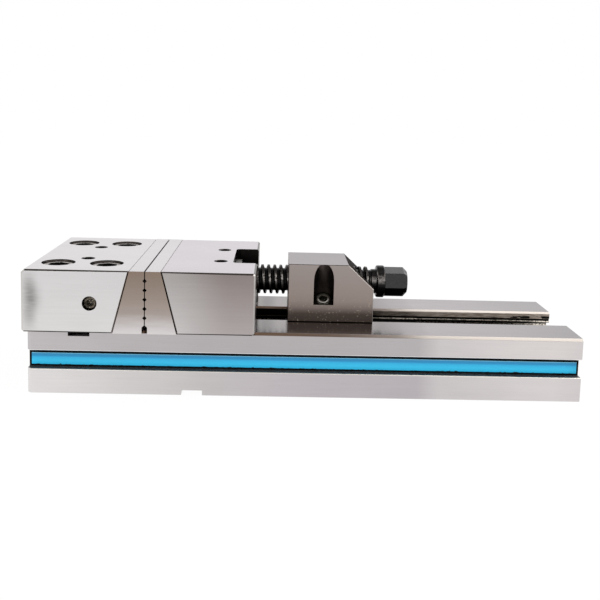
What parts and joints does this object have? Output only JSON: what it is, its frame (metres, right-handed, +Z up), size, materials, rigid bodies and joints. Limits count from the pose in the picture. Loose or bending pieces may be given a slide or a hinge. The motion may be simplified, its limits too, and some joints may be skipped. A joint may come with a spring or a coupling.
{
  "type": "modular machine vise",
  "caption": "Long ground-steel machine vise with a bolted fixed jaw, wedge jaw plates, and a spindle-driven movable jaw behind a repositionable nut block.",
  "frame": {"origin": "middle of the whole vise's footprint, on the bed's underside", "axes": "+X along the bed from the fixed jaw to the spindle's hexagon, +Y across the bed to the rear, +Z up"},
  "size_m": [0.4244, 0.15, 0.0975],
  "materials": {
    "ground_steel": "surface-ground tool steel with fine grain along the bed",
    "jaw_steel": "fine-ground hardened steel",
    "nut_steel": "darker ground steel",
    "hard_steel": "hardened, plain ground",
    "black_oxide": "black oxide, lightly oiled",
    "blue_strip": "satin blue strip, bare"
  },
  "bodies": {
    "base": {"bed": "ground_steel", "front_strip": "blue_strip", "rear_strip": "blue_strip", "fixed_jaw": "jaw_steel", "fixed_jaw_bolt_1": "black_oxide", "fixed_jaw_bolt_2": "black_oxide", "fixed_jaw_bolt_3": "black_oxide", "fixed_jaw_bolt_4": "black_oxide", "fixed_jaw_key_front": "black_oxide", "fixed_jaw_key_rear": "black_oxide", "side_screw_front": "black_oxide", "side_screw_rear": "black_oxide", "fixed_jaw_plate": "jaw_steel", "fixed_jaw_plate_screw_front": "black_oxide", "fixed_jaw_plate_screw_rear": "black_oxide"},
    "nut_carriage": {"nut_block": "nut_steel", "nut_guide": "hard_steel", "nut_clamp_screw_front": "black_oxide", "nut_clamp_screw_rear": "black_oxide"},
    "jaw_carriage": {"movable_jaw": "jaw_steel", "movable_jaw_plate": "jaw_steel", "movable_jaw_plate_screw_front": "black_oxide", "movable_jaw_plate_screw_rear": "black_oxide", "jaw_guide": "hard_steel", "jaw_guide_screw_1": "black_oxide", "jaw_guide_screw_2": "black_oxide", "thrust_pad": "hard_steel", "keeper": "hard_steel", "keeper_screw_front": "black_oxide", "keeper_screw_rear": "black_oxide"},
    "spindle": {"spindle": "black_oxide"}
  },
  "joints": [
    {"name": "nut_block_slide", "type": "slide", "parent": "base", "child": "nut_carriage", "axis": [1, 0, 0], "range_m": [0, 0.155]},
    {"name": "jaw_feed", "type": "slide", "parent": "nut_carriage", "child": "jaw_carriage", "axis": [1, 0, 0], "range_m": [0, 0.0375]},
    {"name": "spindle_turn", "type": "hinge", "parent": "jaw_carriage", "child": "spindle", "pos_m": [-0.059, 0, 0.0787], "axis": [1, 0, 0], "range_deg": [0, 2700]}
  ],
  "couplings": [
    {"joint": "spindle_turn", "follows": "jaw_feed", "rad_per_m": 1256.6}
  ]
}
